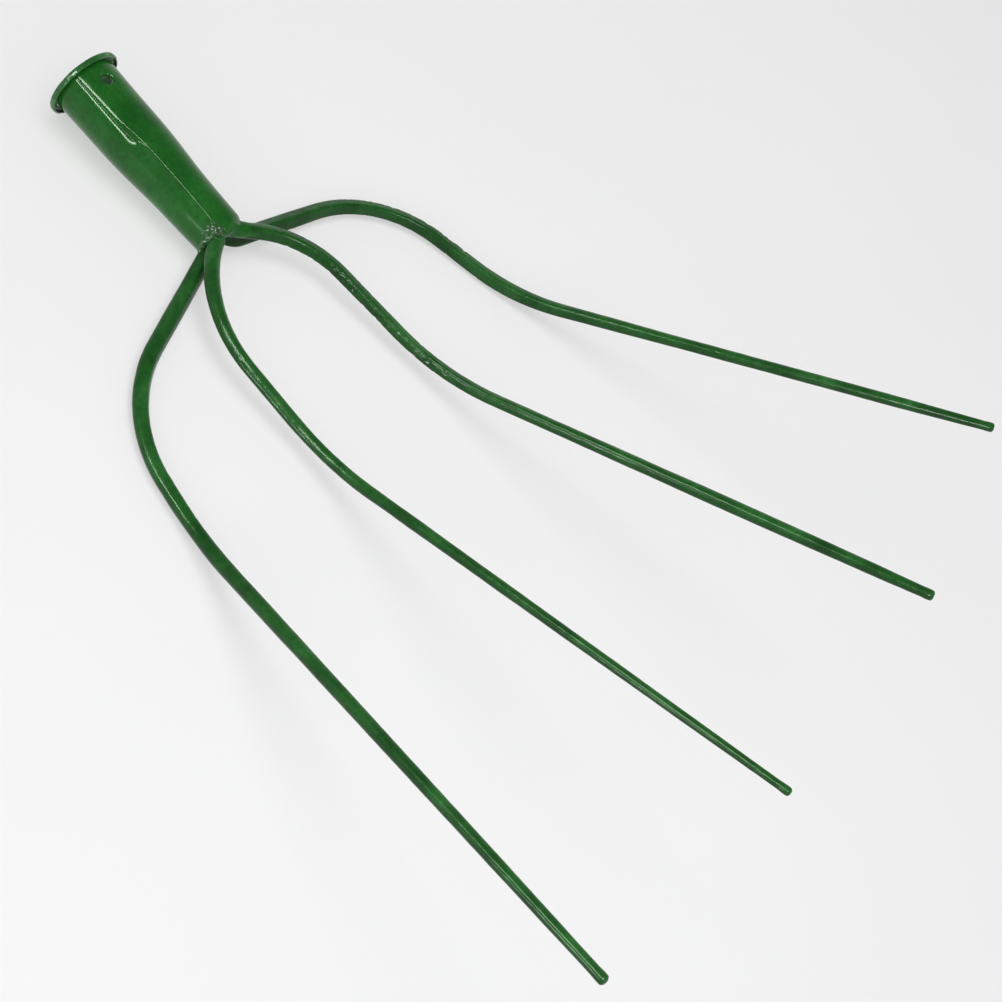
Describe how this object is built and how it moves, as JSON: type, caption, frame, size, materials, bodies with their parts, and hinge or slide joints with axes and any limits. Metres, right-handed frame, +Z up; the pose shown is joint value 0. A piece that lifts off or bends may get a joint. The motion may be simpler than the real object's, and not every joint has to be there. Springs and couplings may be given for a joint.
{
  "type": "fork head",
  "caption": "Green enamelled steel fork head: long bent tapered tines welded into a conical handle socket with a rounded lip at its mouth.",
  "frame": {"origin": "centre of the bounding box in plan, on the ground under the lip ring and the heel bends", "axes": "+Y forward from the socket to the tine tips, +X to the right, +Z up with the head lying on its lip ring and heels"},
  "size_m": [0.3708, 0.4448, 0.1235],
  "materials": {
    "socket_enamel": "glossy dark green enamel over rolled sheet steel, softly dented",
    "tine_enamel": "glossy dark green enamel over hammered steel bar, paint thicker at the tips",
    "weld_enamel": "glossy dark green enamel over lumpy weld metal"
  },
  "bodies": {
    "root": {"socket_tube": "socket_enamel", "lip_ring": "socket_enamel", "seam_bead": "weld_enamel", "tine_outer_right": "tine_enamel", "tine_inner_right": "tine_enamel", "tine_inner_left": "tine_enamel", "tine_outer_left": "tine_enamel", "weld_top_right": "weld_enamel", "weld_top_left": "weld_enamel", "weld_bottom_left": "weld_enamel", "weld_bottom_right": "weld_enamel"}
  },
  "joints": []
}
